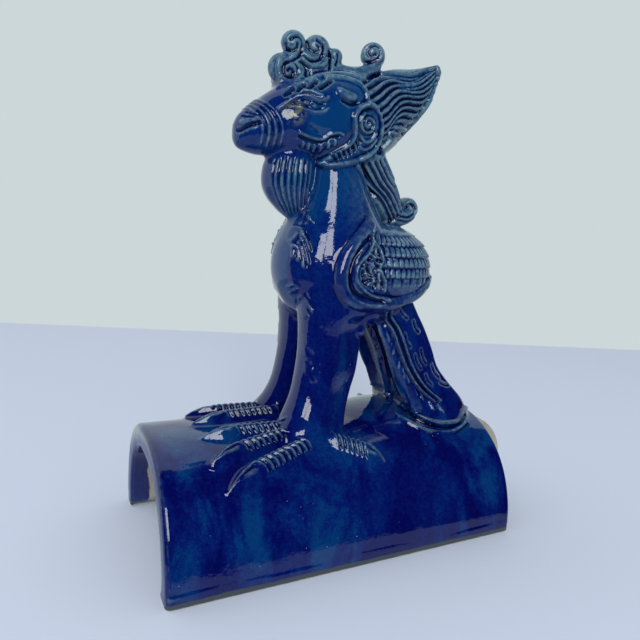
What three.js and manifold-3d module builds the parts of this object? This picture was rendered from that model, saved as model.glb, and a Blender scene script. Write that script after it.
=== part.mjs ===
// A phoenix standing on a half-round ridge tile, press-moulded in two mirrored halves and fired in one piece.
// Millimetres. x runs across the bird (+x is its left side), y from its beak (-) to its tail (+), z up from the
// ground that the tile stands on. y = 0 is the middle of the tile without its spigot.
import * as THREE from 'three';
import { mergeVertices } from 'three/addons/utils/BufferGeometryUtils.js';
import Module from 'manifold-3d';

// ---------- driving dimensions ----------

const TILE = { length: 167.7, halfWidth: 50.5, height: 53.2, wall: 11, power: 2.48, steps: 22 };
const SPIGOT = {
  length: 15,
  root: 7,
  halfWidth: 43,
  height: 45.5,
  wall: 9,
  power: 2.2,
  halfAngle: 46,
  steps: 8,
};
const MOUND = { centre: [0, 40, 43], radii: [32, 41, 14.5] };

// Level sections of the body and the neck: height, centre y, half-width, half-depth.
const TORSO_POWER = 2.15;
const TORSO = [
  [98, 16, 9, 13],
  [102, 14, 17, 24],
  [108, 12, 23.5, 30],
  [119, 10, 27, 34],
  [130, 8, 26, 33],
  [140, 6, 24, 28],
  [150, 6, 20, 23],
  [160, 6, 17, 19],
  [170, 4, 15, 15],
  [182, 2, 14, 14],
];

// Level sections of the left leg: height, centre x, centre y, half-width, half-depth.
const LEG = [
  [118, 12, 3, 13, 20],
  [108, 12, 1, 13.5, 18],
  [98, 12, -1, 12.2, 15.5],
  [88, 12.2, -1.8, 11.2, 15],
  [78, 12.5, -3.2, 10.6, 15],
  [69, 13, -5.6, 10.4, 14.6],
  [61, 14.2, -8.6, 10.9, 15.2],
  [54, 17, -12, 12.6, 16.5],
  [41, 21, -13.5, 16.5, 17.5],
];

// Level sections of the tail: height, front edge, rear edge, half-width, squareness.
const TAIL = [
  [114, 18, 46, 15, 2.4],
  [104, 19, 50, 16, 3],
  [96, 23, 53, 16.5, 4],
  [86, 28, 57, 16.8, 5],
  [76, 31.2, 61.5, 17, 5],
  [66, 34.6, 71, 18, 4.5],
  [58, 36.5, 80, 22, 3],
  [52, 38, 83, 27.5, 2.4],
  [44, 38, 83, 31, 2.2],
];
// Its front is hollow and the rest is fluted.
const TAIL_FLUTES = { depth: 0.9, hollow: 4 };

// Upright sections of the head, from the beak's tip to the nape: y, centre height, half-width, half-height.
const HEAD_POWER = 2.2;
const HEAD = [
  [-46.5, 184, 2.2, 3],
  [-44, 185, 6, 6.4],
  [-40, 186, 9, 8.6],
  [-35, 187.6, 11.3, 11.6],
  [-29, 189.4, 13.2, 14],
  [-22, 191.6, 15.8, 16.8],
  [-14, 193.4, 17.8, 18.4],
  [-5, 194, 18.8, 20],
  [5, 194.3, 18.2, 20.8],
  [14, 195.5, 15, 20],
  [22, 197, 10, 18],
  [29, 198, 5, 13],
];
const BEAK_RINGS = { from: -39.5, to: -27, count: 4, depth: 0.8 };

// The lobed beard below the beak: height, centre y, half-width, half-depth.
const BEARD = [
  [179, -19, 10, 10],
  [172, -20.5, 12, 12],
  [164, -21, 12, 12],
  [158, -20, 10.5, 10.5],
  [153, -18, 8, 7.6],
  [149.5, -16.6, 5, 4.6],
  [147.2, -16, 2, 2],
];
const BEARD_LOCKS = { count: 10, share: 0.075 };

// The hair that blows back from the head as a leaf: its upper and lower edge (y, z), both ending in the tip.
const FLARE_TOP = [[4, 212], [15, 215], [27, 218.5], [40, 220.5], [50, 223.5], [59.5, 226]];
const FLARE_LOW = [[14, 174], [29, 178], [38, 185], [46, 193.5], [54, 205], [60.5, 222]];
const FLARE = { halfThickness: 8.5, edge: 0.35, tip: 2.2, locks: 8, depth: 1.1, wave: 0.03, steps: 7 };

// The hair down the nape, which turns up into a curl: y, z, half-width across, half-thickness.
const NAPE = [
  [19, 181, 12.5, 9],
  [22, 171, 12, 9.5],
  [26, 161, 11.5, 9],
  [30, 153, 10.5, 7],
  [36, 148.6, 9, 5],
  [41.5, 149.8, 7.5, 4],
  [44.6, 154, 6.5, 3.6],
  [43.2, 158.8, 6, 3.2],
  [39.2, 159, 5.2, 3],
  [38.8, 155.2, 4.4, 2.8],
];
const NAPE_LOCKS = { count: 6, share: 0.1 };

// Curls of the crest: centre y, centre z, outer radius, angle at which the band leaves (degrees), its sense.
const CREST_CURLS = [
  [-21, 224.2, 6.4, -60, 1],
  [-9.8, 222.4, 6.8, -120, 1],
  [-0.2, 219.4, 4.2, -120, 1],
  [-23.2, 211.4, 7.6, -30, 1],
  [20.8, 224, 6.2, -90, 1],
];
const CURL = { turns: 1.3, halfThickness: 5.6, band: 1.9, web: 3.9, steps: 9 };
const CREST_BASE = [
  [-27, 206, 5.4, 5.4],
  [-20, 213, 6.2, 9],
  [-9, 215, 5.8, 6.8],
  [1, 215.5, 5.2, 4.6],
  [12, 216, 4.4, 3.2],
  [23, 218, 3.4, 2.4],
];

// Raised lines on the left of the face, each as (y, z) places that are laid onto the head.
const FACE_RIM = [
  [-4, 208.5],
  [2, 208.5],
  [7, 207],
  [10, 203.5],
  [9.6, 199.4],
  [5, 196],
  [3.4, 191],
  [4.3, 184.3],
  [-7, 173],
];
const EYELID = [[-29, 193.5], [-26, 196.2], [-22, 198.8], [-17.5, 198.6], [-14, 197.6], [-9.5, 198.6]];
const EYE = { at: [-19, 195.7], radii: [2.2, 4.6, 2] };
const MOUTH = [[-20.5, 182.8], [-15.7, 180.9], [-10.5, 180.9], [-6.8, 183], [-1.7, 184.8]];
const EAR_RIM = [
  [6.5, 197.2],
  [12, 199.2],
  [17, 197],
  [19.4, 190],
  [18.2, 182.6],
  [11.5, 176.4],
  [3.5, 173.4],
  [-5.5, 171],
];
const EAR = { x: 13.6, lean: 0.12, band: 1.6 };
const VOLUTE = { centre: [11.4, 189.4], outer: 5, inner: 1, turns: 1.3, start: -60, steps: 7 };
const EAR_PLATE = { centre: [12, 187], radii: [7.2, 12.2], rings: [[5, 1], [12.4, 1], [13.2, 0.85]] };
const CORD = 1.1;

const WING = { centre: [4, 28, 126.5], radii: [24, 26.5, 20], rows: 5, step: 0.045 };
const WING_BAND = [
  [14, 143.5],
  [6, 134],
  [1, 127],
  [1, 120],
  [6.5, 113],
  [15.5, 109.5],
  [27, 108.5],
  [39, 110.5],
];
const BAND = [3.2, 3];
const WING_SCALES = [[15.5, 134], [10, 125], [16, 118.5]];
const SCALE = { radii: [3, 5.4, 5], proud: 0.9 };

// Toes of the left foot: where each leaves the foot and where its claw ends (x, y), and its rings.
const TOES = [
  { root: [27, -18], tip: [41, -57] },
  { root: [21, -22], tip: [30.5, -61] },
  { root: [15, -20], tip: [15.5, -60] },
  { root: [25, -4], tip: [38.5, 18] },
];
// A toe has rings with grooves between them, thins towards its end, and ends in a smooth claw.
const TOE = { halfWidth: 4.3, rise: 5.6, rings: 5, groove: 0.14, thin: 0.16, claw: 0.22, sunk: 0.6 };
const CLAW = [[0.4, 0.62], [0.8, 0.34], [1, 0.1]];

// ---------- closed skins ----------

// A closed skin over rings of equal length, each end filled by a fan.
function skin(rings) {
  const sides = rings[0].length;
  const points = rings.flat();
  const index = [];
  for (let r = 0; r + 1 < rings.length; r += 1) {
    for (let s = 0; s < sides; s += 1) {
      const a = r * sides + s;
      const b = r * sides + ((s + 1) % sides);
      index.push(a, b, a + sides, b, b + sides, a + sides);
    }
  }
  for (const [r, turned] of [[0, true], [rings.length - 1, false]]) {
    const middle = new THREE.Vector3();
    rings[r].forEach((p) => middle.addScaledVector(p, 1 / sides));
    const hub = points.push(middle) - 1;
    for (let s = 0; s < sides; s += 1) {
      const a = r * sides + s;
      const b = r * sides + ((s + 1) % sides);
      index.push(...(turned ? [hub, b, a] : [hub, a, b]));
    }
  }
  const geometry = new THREE.BufferGeometry().setFromPoints(points);
  geometry.setIndex(index);
  return geometry;
}

// A superellipse about a centre in the plane of two unit directions; ripple(angle) scales its radius.
function ring(centre, across, along, a, b, { sides = 20, power = 2, ripple = () => 1 } = {}) {
  return Array.from({ length: sides }, (_, i) => {
    const angle = (2 * Math.PI * i) / sides;
    const c = Math.cos(angle);
    const s = Math.sin(angle);
    const k = ripple(angle);
    const u = Math.sign(c) * Math.abs(c) ** (2 / power) * a * k;
    const v = Math.sign(s) * Math.abs(s) ** (2 / power) * b * k;
    return centre.clone().addScaledVector(across, u).addScaledVector(along, v);
  });
}

// How far a superellipse of unit size reaches at a place between its middle (0) and its end (1 or -1).
function bulge(place, power) {
  return Math.max(0.05, 1 - Math.min(1, Math.abs(place)) ** power) ** (1 / power);
}

const X = new THREE.Vector3(1, 0, 0);
const Y = new THREE.Vector3(0, 1, 0);
const Z = new THREE.Vector3(0, 0, 1);

// Rows of numbers read as a smooth curve: at(t) gives the row at t between 0 and 1.
function smooth(rows) {
  const width = rows[0].length;
  const spline = new THREE.CubicInterpolant(rows.map((_, i) => i / (rows.length - 1)), rows.flat(), width);
  return (t) => Array.from(spline.evaluate(t));
}

function steps(count) {
  return Array.from({ length: count + 1 }, (_, i) => i / count);
}

// The row of a table whose first value is near the one asked for, between its own rows.
function rowAt(table, value) {
  const rows = table[0][0] < table[table.length - 1][0] ? table : [...table].reverse();
  const spline = new THREE.CubicInterpolant(rows.map((row) => row[0]), rows.flat(), rows[0].length);
  return Array.from(spline.evaluate(value));
}

// A cord along points in or near one upright plane; radius(t) may give [across, in-plane] half sizes.
function cord(points, radius, { sides = 6, count = 12 } = {}) {
  const path = new THREE.CatmullRomCurve3(points);
  const rings = steps(count).map((t) => {
    const up = new THREE.Vector3().crossVectors(path.getTangent(t), X).normalize();
    const [a, b] = [radius(t)].flat().length === 2 ? radius(t) : [radius(t), radius(t)];
    return ring(path.getPoint(t), X, up, a, b, { sides });
  });
  return skin(rings);
}

function ellipsoid(centre, radii, across = 12, down = 8) {
  return new THREE.SphereGeometry(1, across, down).rotateX(Math.PI / 2).scale(...radii).translate(...centre);
}

// ---------- solids ----------

// The geometry as a manifold solid, with its faces turned outwards.
function solid(geometry) {
  const bare = geometry.clone();
  bare.deleteAttribute('normal');
  bare.deleteAttribute('uv');
  const merged = mergeVertices(bare, 1e-4);
  const place = merged.attributes.position.array;
  const corners = Uint32Array.from(merged.index.array);
  const at = (i) => new THREE.Vector3().fromArray(place, 3 * i);
  let volume = 0;
  for (let i = 0; i < corners.length; i += 3) {
    volume += at(corners[i]).dot(at(corners[i + 1]).cross(at(corners[i + 2])));
  }
  if (volume < 0) {
    for (let i = 0; i < corners.length; i += 3) [corners[i], corners[i + 1]] = [corners[i + 1], corners[i]];
  }
  return new wasm.Manifold(new wasm.Mesh({ numProp: 3, vertProperties: place, triVerts: corners }));
}

function mirrored(geometry) {
  return geometry.clone().scale(-1, 1, 1);
}

const wasm = await Module();
wasm.setup();

// Solids on the middle plane, and left-hand ones whose mirror images are added at the end.
const central = [];
const paired = [];

// ---------- tile ----------

// Half of a superellipse arch from one side to the other, over the given angle each way from its crown.
function arch(halfWidth, height, power, count, halfAngle = 90) {
  return steps(count).map((t) => {
    const angle = THREE.MathUtils.degToRad(halfAngle) * (2 * t - 1);
    const x = Math.sign(Math.sin(angle)) * Math.abs(Math.sin(angle)) ** (2 / power) * halfWidth;
    const z = Math.max(0, Math.cos(angle)) ** (2 / power) * height;
    return new THREE.Vector2(x, Math.abs(Math.abs(angle) - Math.PI / 2) < 1e-6 ? 0 : z);
  });
}

// An outline in x and z drawn out along y.
function drawn(outline, from, to) {
  const bar = new THREE.ExtrudeGeometry(new THREE.Shape(outline), { depth: to - from, bevelEnabled: false });
  return bar.rotateX(Math.PI / 2).translate(0, to, 0);
}

function archedBar({ halfWidth, height, wall, power, steps: count, halfAngle }, from, to) {
  const outer = arch(halfWidth, height, power, count, halfAngle);
  const inner = arch(halfWidth - wall, height - wall, power, count, halfAngle).reverse();
  return drawn([...outer, ...inner], from, to);
}

// The height of the tile's outer face at a distance from its middle line.
function tileTop(x) {
  return TILE.height * (1 - Math.abs(x / TILE.halfWidth) ** TILE.power) ** (1 / TILE.power);
}

const tile = archedBar(TILE, -TILE.length / 2, TILE.length / 2);
const spigot = archedBar(SPIGOT, TILE.length / 2 - SPIGOT.root, TILE.length / 2 + SPIGOT.length);
// The room below the middle of the tile's wall, which no foot reaches into.
const underTile = drawn(
  arch(TILE.halfWidth - TILE.wall / 2, TILE.height - TILE.wall / 2, TILE.power, TILE.steps),
  -TILE.length,
  TILE.length,
);
central.push(ellipsoid(MOUND.centre, MOUND.radii, 16, 6));

// ---------- body, legs and tail ----------

const torsoAt = smooth(TORSO);
central.push(skin(steps(8).map((t) => {
  const [z, y, a, b] = torsoAt(t);
  return ring(new THREE.Vector3(0, y, z), X, Y, a, b, { sides: 20, power: TORSO_POWER });
})));

const legAt = smooth(LEG);
paired.push(skin(steps(7).map((t) => {
  const [z, x, y, a, b] = legAt(t);
  return ring(new THREE.Vector3(x, y, z), X, Y, a, b, { sides: 12 });
})));

const tailAt = smooth(TAIL);
central.push(skin(steps(7).map((t) => {
  const [z, front, rear, a, power] = tailAt(t);
  const half = (rear - front) / 2;
  const points = ring(new THREE.Vector3(0, front + half, z), X, Y, a, half, { sides: 24, power });
  points.forEach((p, i) => {
    const frontness = Math.max(0, (front + half - p.y) / half) ** 6;
    const fluted = Math.max(0, (p.y - front) / (2 * half) - 0.15);
    p.y += TAIL_FLUTES.hollow * frontness * (1 - (p.x / a) ** 2);
    p.x -= Math.sign(p.x) * (i % 2) * TAIL_FLUTES.depth * Math.min(1, 3 * fluted);
  });
  return points;
})));

// ---------- feet ----------

function toe({ root, tip }) {
  const from = new THREE.Vector2(...root);
  const to = new THREE.Vector2(...tip);
  const heading = to.clone().sub(from).normalize();
  const side = new THREE.Vector3(-heading.y, heading.x, 0);
  const claw = 1 - TOE.claw;
  const ringed = steps(2 * TOE.rings).map((t, i) => [claw * t, 1 - (i % 2 ? TOE.groove : 0) - TOE.thin * t]);
  const clawed = CLAW.map(([t, size]) => [claw + t * TOE.claw, size]);
  return skin([...ringed, ...clawed].map(([t, size]) => {
    const at = from.clone().lerp(to, t);
    const centre = new THREE.Vector3(at.x, at.y, tileTop(at.x) - TOE.sunk * (1 - t));
    return ring(centre, Z, side, TOE.rise * size, TOE.halfWidth * size, { sides: 5 });
  }));
}

TOES.forEach((place) => paired.push(toe(place)));

// ---------- head ----------

const { from: firstRing, to: lastRing, count: ringCount } = BEAK_RINGS;
const plainYs = HEAD.map((row) => row[0]).filter((y) => y < firstRing || y > lastRing);
const ringYs = steps(2 * ringCount).map((t) => THREE.MathUtils.lerp(firstRing, lastRing, t));
const headYs = [...plainYs, ...ringYs].sort((p, q) => p - q);
central.push(skin(headYs.map((y) => {
  const [, z, a, b] = rowAt(HEAD, y);
  const raised = ringYs.indexOf(y) % 2 === 1 ? BEAK_RINGS.depth : 0;
  return ring(new THREE.Vector3(0, y, z), X, Z, a + raised, b + raised, { sides: 18, power: HEAD_POWER });
})));

// The point of the head's left side at a place seen from the side, raised by an offset.
function onHead([y, z], proud = 0) {
  const [, middle, a, b] = rowAt(HEAD, y);
  return new THREE.Vector3(a * bulge((z - middle) / b, HEAD_POWER) + proud, y, z);
}

// Places joined by a smooth line and laid onto a surface.
function laid(places, onto, count) {
  const line = new THREE.SplineCurve(places.map(([y, z]) => new THREE.Vector2(y, z)));
  return line.getPoints(count).map((p) => onto([p.x, p.y]));
}

paired.push(cord(laid(FACE_RIM, (p) => onHead(p, 0.5), 11), () => 1.5, { sides: 5, count: 11 }));
paired.push(cord(laid(EYELID, onHead, 5), () => CORD, { sides: 5, count: 5 }));
paired.push(cord(laid(MOUTH, onHead, 5), () => CORD, { sides: 5, count: 5 }));
paired.push(ellipsoid(onHead(EYE.at).toArray(), EYE.radii, 8, 5));

// A flat spiral (y, z offsets) whose radius shrinks from outer to inner over its turns.
function spiral(outer, inner, turns, start, count, sense = 1) {
  return steps(count).map((t) => {
    const radius = outer + (inner - outer) * t ** 0.85;
    const angle = THREE.MathUtils.degToRad(start + sense * 360 * turns * t);
    return [radius * Math.cos(angle), radius * Math.sin(angle)];
  });
}

// The ear is a plate with a raised rim, which runs on below the jaw, and a small volute inside it.
const [earY, earZ] = VOLUTE.centre;
function onEar([y, z]) {
  const plate = EAR.x - EAR.lean * Math.abs(y - earY);
  return new THREE.Vector3(Math.max(plate, onHead([y, z]).x, onTorso([y, z]).x), y, z);
}
const volute = spiral(VOLUTE.outer, VOLUTE.inner, VOLUTE.turns, VOLUTE.start, VOLUTE.steps);
paired.push(cord(laid(EAR_RIM, onEar, 9), () => EAR.band, { sides: 5, count: 9 }));
paired.push(cord(
  volute.map(([y, z]) => onEar([earY + y, earZ + z])),
  (t) => EAR.band * (1 - 0.3 * t),
  { sides: 5, count: VOLUTE.steps },
));
paired.push(skin(EAR_PLATE.rings.map(([x, size]) => {
  const [y, z] = EAR_PLATE.centre;
  const [a, b] = EAR_PLATE.radii;
  return ring(new THREE.Vector3(x, y, z), Y, Z, a * size, b * size, { sides: 10 });
})));

// ---------- hair, beard and crest ----------

central.push(skin(steps(FLARE.steps).map((t) => {
  const curve = (edge) => new THREE.SplineCurve(edge.map(([y, z]) => new THREE.Vector2(y, z))).getPoint(t);
  const top = curve(FLARE_TOP);
  const low = curve(FLARE_LOW);
  const half = THREE.MathUtils.lerp(FLARE.halfThickness, FLARE.tip, t ** 0.8);
  const depth = FLARE.depth * (1 - 0.55 * t);
  const count = 2 * FLARE.locks;
  const face = steps(count).map((s, i) => {
    const swell = FLARE.edge + (1 - FLARE.edge) * Math.sin(Math.PI * s) ** 0.7;
    const waved = s + FLARE.wave * Math.sin(4 * Math.PI * t) * Math.sin(Math.PI * s);
    const place = low.clone().lerp(top, waved);
    return new THREE.Vector3(half * swell - (i % 2 ? 0 : depth), place.x, place.y);
  });
  const other = [...face].reverse().map((p) => new THREE.Vector3(-p.x, p.y, p.z));
  return [...face, ...other];
})));

const beardAt = smooth(BEARD);
central.push(skin(steps(6).map((t) => {
  const [z, y, a, b] = beardAt(t);
  const share = BEARD_LOCKS.share * (1 - 0.5 * t);
  const ripple = (angle) => 1 - share * (1 + Math.cos(angle * BEARD_LOCKS.count));
  return ring(new THREE.Vector3(0, y, z), X, Y, a, b, { sides: 20, ripple });
})));

const napeAt = smooth(NAPE);
central.push(skin(steps(11).map((t) => {
  const [y, z, a, b] = napeAt(t);
  const [y2, z2] = napeAt(Math.min(1, t + 0.01));
  const [y1, z1] = napeAt(Math.max(0, t - 0.01));
  const outward = new THREE.Vector3(0, -(z2 - z1), y2 - y1).normalize();
  const share = NAPE_LOCKS.share * (1 - 0.4 * t);
  const ripple = (angle) => 1 - share * (1 + Math.cos(angle * NAPE_LOCKS.count));
  return ring(new THREE.Vector3(0, y, z), X, outward, a, b, { sides: 12, power: 2.4, ripple });
})));

const baseAt = smooth(CREST_BASE);
central.push(skin(steps(5).map((t) => {
  const [y, z, a, b] = baseAt(t);
  return ring(new THREE.Vector3(0, y, z), X, Z, a, b, { sides: 8 });
})));

function curl([y, z, radius, start, sense]) {
  const path = spiral(radius - CURL.band, 1.2, CURL.turns, start, CURL.steps, sense).map(
    ([dy, dz]) => new THREE.Vector3(0, y + dy, z + dz),
  );
  const band = cord(path, (t) => [CURL.halfThickness * (1 - 0.12 * t), CURL.band * (1 - 0.2 * t)], {
    count: CURL.steps,
  });
  const disc = radius - CURL.band;
  const web = new THREE.CylinderGeometry(disc, disc, 2 * CURL.web, 10).rotateZ(Math.PI / 2).translate(0, y, z);
  return [band, web];
}
CREST_CURLS.forEach((place) => central.push(...curl(place)));

// ---------- wings ----------

// A wing is a round swelling whose rows of feathers lie in level steps.
const levels = 2 * WING.rows + 2;
const wing = new THREE.SphereGeometry(1, 14, levels).rotateX(Math.PI / 2);
const wingPlace = wing.attributes.position;
for (let i = 0; i < wingPlace.count; i += 1) {
  const point = new THREE.Vector3().fromBufferAttribute(wingPlace, i);
  const level = Math.round((levels * Math.acos(THREE.MathUtils.clamp(point.z, -1, 1))) / Math.PI);
  const size = level % 2 ? 1 - WING.step : 1;
  wingPlace.setXYZ(i, point.x * size, point.y * size, point.z);
}
paired.push(wing.scale(...WING.radii).translate(...WING.centre));

// The point of the left wing at a place seen from the side.
function onWing([y, z]) {
  const v = (y - WING.centre[1]) / WING.radii[1];
  const w = (z - WING.centre[2]) / WING.radii[2];
  const x = WING.centre[0] + WING.radii[0] * Math.sqrt(Math.max(0.12, 1 - v * v - w * w));
  return new THREE.Vector3(x, y, z);
}

// The point of the body's left side at a place seen from the side.
function onTorso([y, z]) {
  const [, middle, a, b] = rowAt(TORSO, z);
  return new THREE.Vector3(a * bulge((y - middle) / b, TORSO_POWER), y, z);
}

// The outer one of the two.
function onFlank(place) {
  const body = onTorso(place);
  const feather = onWing(place);
  return body.x > feather.x ? body : feather;
}
paired.push(cord(laid(WING_BAND, onFlank, 12), () => BAND, { sides: 6, count: 12 }));
WING_SCALES.forEach((p) => {
  const centre = onFlank(p);
  centre.x += SCALE.proud - SCALE.radii[0];
  paired.push(ellipsoid(centre.toArray(), SCALE.radii, 6, 4));
});

// ---------- the fired piece ----------

// The corners of the outer skin alone: small pockets that touching locks of hair seal in are solid clay.
function outerSkin(corners) {
  const group = Array.from({ length: Math.max(...corners) + 1 }, (_, i) => i);
  const find = (i) => {
    let at = i;
    while (group[at] !== at) at = group[at];
    group[i] = at;
    return at;
  };
  for (let i = 0; i < corners.length; i += 3) {
    group[find(corners[i + 1])] = find(corners[i]);
    group[find(corners[i + 2])] = find(corners[i]);
  }
  const sizes = new Map();
  corners.forEach((c) => sizes.set(find(c), (sizes.get(find(c)) ?? 0) + 1));
  const largest = [...sizes.keys()].reduce((best, key) => (sizes.get(key) > sizes.get(best) ? key : best));
  return corners.filter((c, i) => find(corners[i - (i % 3)]) === largest);
}

const parts = [...central, ...paired, ...paired.map(mirrored)].map(solid);
const bird = parts.reduce((sum, part) => sum.add(part)).subtract(solid(underTile));
const fired = bird.add(solid(tile)).add(solid(spigot)).getMesh();
const geometry = new THREE.BufferGeometry();
geometry.setAttribute('position', new THREE.BufferAttribute(fired.vertProperties, 3));
geometry.setIndex(new THREE.BufferAttribute(outerSkin(fired.triVerts), 1));
geometry.computeVertexNormals();

const glaze = new THREE.MeshStandardMaterial({ color: 0x062a78, roughness: 0.12, metalness: 0 });
const phoenix = new THREE.Mesh(geometry, glaze);
phoenix.name = 'phoenix_ridge_tile';
phoenix.position.y = -SPIGOT.length / 2;

const ornament = new THREE.Group();
ornament.add(phoenix);
export default ornament;
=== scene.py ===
# A phoenix standing on its half-round ridge tile: pressed clay under a deep blue glaze, fired in one piece.
# It is modelled in millimetres about the middle of the tile, then set into the shared frame in metres.
# x runs across the bird (+x is its left), y from its beak (-) to its tail (+), z up from the ground.
import math

import bmesh
import bpy
import numpy as np
from mathutils import Matrix, Vector


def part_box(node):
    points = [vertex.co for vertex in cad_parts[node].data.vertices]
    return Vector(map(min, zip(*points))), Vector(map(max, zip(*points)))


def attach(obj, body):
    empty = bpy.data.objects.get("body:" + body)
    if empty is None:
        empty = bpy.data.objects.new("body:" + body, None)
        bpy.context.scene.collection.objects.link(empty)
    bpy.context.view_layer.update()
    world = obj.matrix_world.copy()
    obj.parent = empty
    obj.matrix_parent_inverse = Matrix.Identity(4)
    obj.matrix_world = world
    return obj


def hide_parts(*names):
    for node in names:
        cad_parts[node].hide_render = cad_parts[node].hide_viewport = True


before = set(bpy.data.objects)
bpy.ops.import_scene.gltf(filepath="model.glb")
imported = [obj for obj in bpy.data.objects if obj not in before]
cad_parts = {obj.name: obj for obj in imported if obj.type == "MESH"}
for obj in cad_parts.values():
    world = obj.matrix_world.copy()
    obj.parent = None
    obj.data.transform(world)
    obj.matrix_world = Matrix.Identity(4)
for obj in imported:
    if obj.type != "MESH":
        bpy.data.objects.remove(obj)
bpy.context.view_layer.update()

# --------
# The ridge tile: a slab of clay bent over a half-round former. Its long lower edges stand on the roof, and
# its ends are wiped round with a wet cloth. It is pushed out from end to end, through rings that close in
# at both ends.

TILE_LENGTH = 167.7
TILE_HALF_WIDTH = 50.5
TILE_HEIGHT = 53.2
TILE_WALL = 11.0
TILE_POWER = 2.48
TILE_FRONT = -TILE_LENGTH / 2
TILE_REAR = TILE_LENGTH / 2
EDGE_ROUND = 2.4  # of the two ends
FOOT_ROUND = 0.9  # of the outer lower edges
INNER_ROUND = 3.6  # of the inner lower edges
ARCH_CORNERS = 65


def pushed_out(name, rings):
    """A closed form: a disc laid on the first ring of places, and extruded on to each next one."""
    bpy.ops.object.select_all(action="DESELECT")
    bpy.ops.mesh.primitive_circle_add(vertices=len(rings[0]), fill_type="NGON", enter_editmode=True)
    form = bpy.context.object
    form.name = name
    for step, ring in enumerate(rings):
        if step:
            bpy.ops.mesh.extrude_region()
        cap = next(face for face in bmesh.from_edit_mesh(form.data).faces if face.select)
        for corner, place in zip(cap.verts, ring):
            corner.co = place
    bpy.ops.mesh.select_all(action="SELECT")
    bpy.ops.mesh.normals_make_consistent(inside=False)
    bpy.ops.object.mode_set(mode="OBJECT")
    return form


def arch(half_width, height, power, half_angle):
    """Places (x, z) along a superellipse arch, from one side over the crown to the other."""
    turn = np.radians(np.linspace(-half_angle, half_angle, ARCH_CORNERS))
    x = np.sign(turn) * np.abs(np.sin(turn)) ** (2 / power) * half_width
    z = np.maximum(np.cos(turn), 0) ** (2 / power) * height
    return np.stack([x, z], axis=1)


def arched_bar(name, half_width, height, wall, power, half_angle, start, end, foot):
    """A bent slab from start to end along the ridge, with rounded ends and rounded lower edges."""
    rings = []
    for share in (0, 0.3, 0.7, 1):
        inset = EDGE_ROUND * (1 - math.sin(share * math.pi / 2))
        rings.append((start + EDGE_ROUND * (1 - math.cos(share * math.pi / 2)), inset))
    rings += [(start + (end - start) * share, 0) for share in np.linspace(0.05, 0.95, 19)]
    rings += [(end + start - y, inset) for y, inset in reversed(rings[:4])]
    places = []
    for y, inset in rings:
        outer = arch(half_width - inset, height - inset, power, half_angle)
        inner = arch(half_width - wall + inset, height - wall + inset, power, half_angle)[::-1]
        if foot:
            side = np.array([(half_width, foot / 3), (half_width - foot / 2, 0),
                             (half_width - wall + INNER_ROUND, 0), (half_width - wall + 1, 1.1)])
            side[:, 0] *= 1 - inset / half_width
            outer[[0, -1], 1] = foot
            inner[[0, -1], 1] = INNER_ROUND
            outline = np.concatenate([outer, side, inner, side[::-1] * (-1, 1)])
        else:
            outline = np.concatenate([outer, inner])
        places.append([(x, y, z) for x, z in outline])
    return pushed_out(name, places)


tile = arched_bar(
    "tile", TILE_HALF_WIDTH, TILE_HEIGHT, TILE_WALL, TILE_POWER, 90, TILE_FRONT, TILE_REAR, FOOT_ROUND
)

# --------
# The spigot: a lower, narrower tongue of bare clay at the rear end, luted on inside the crown, that the
# next tile laps over. It is an arched slab, drawn back at its two corners so that it is longest at the
# crown.

SPIGOT_LENGTH = 15.0
SPIGOT_ROOT = 7.0  # how far it reaches in under the tile
SPIGOT_HALF_WIDTH = 44.5
SPIGOT_HEIGHT = 43.5
SPIGOT_WALL = 9
SPIGOT_POWER = 2.9
SPIGOT_HALF_ANGLE = 49
SPIGOT_CORNER = 36.7  # how far out its corners stand
DRAWN_BACK = 0.88  # how much of its length they lose

spigot = arched_bar(
    "spigot", SPIGOT_HALF_WIDTH, SPIGOT_HEIGHT, SPIGOT_WALL, SPIGOT_POWER, SPIGOT_HALF_ANGLE,
    TILE_REAR - SPIGOT_ROOT, TILE_REAR + SPIGOT_LENGTH, foot=0
)
for corner in spigot.data.vertices:
    lost = DRAWN_BACK * min(1, abs(corner.co.x) / SPIGOT_CORNER) ** 3
    corner.co.y -= max(0, corner.co.y - TILE_REAR) * lost

# --------
# The mound: a low pad of clay on the crown of the tile, between the legs and the tail, that the tail is
# luted to. It is a flattened ball, like the other round forms of the bird.

MOUND_RADII = (32, 41, 14.5)
MOUND_CENTRE = (0, 40, 43)


def ball(radii, centre, segments):
    """A round form with its own radius along each axis."""
    bpy.ops.object.select_all(action="DESELECT")
    bpy.ops.mesh.primitive_uv_sphere_add(
        segments=segments, ring_count=segments // 2, radius=1, enter_editmode=True
    )
    bpy.ops.transform.resize(value=radii)
    bpy.ops.transform.translate(value=centre)
    bpy.ops.object.mode_set(mode="OBJECT")
    return bpy.context.object


def tile_top(x, sunk=0.0):
    """Height of the tile's outer face at a distance from its middle line, or of a face sunk below it."""
    share = np.clip(np.abs(x) / (TILE_HALF_WIDTH - sunk), 0, 1)
    return (TILE_HEIGHT - sunk) * (1 - share**TILE_POWER) ** (1 / TILE_POWER)


def seated(form):
    """Keeps a form out of the room below the tile that it stands on, by lifting it to mid-wall."""
    for corner in form.data.vertices:
        corner.co.z = max(corner.co.z, float(tile_top(corner.co.x, TILE_WALL / 2)))
    return form


mound = seated(ball(MOUND_RADII, MOUND_CENTRE, 64))

# --------
# The body and the neck: one pressed hollow bulb, smooth outside, drawn in to the neck. Every form of the
# bird is pushed out along its own line, through rings that turn about the x axis and that may carry locks
# or folds.

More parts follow.
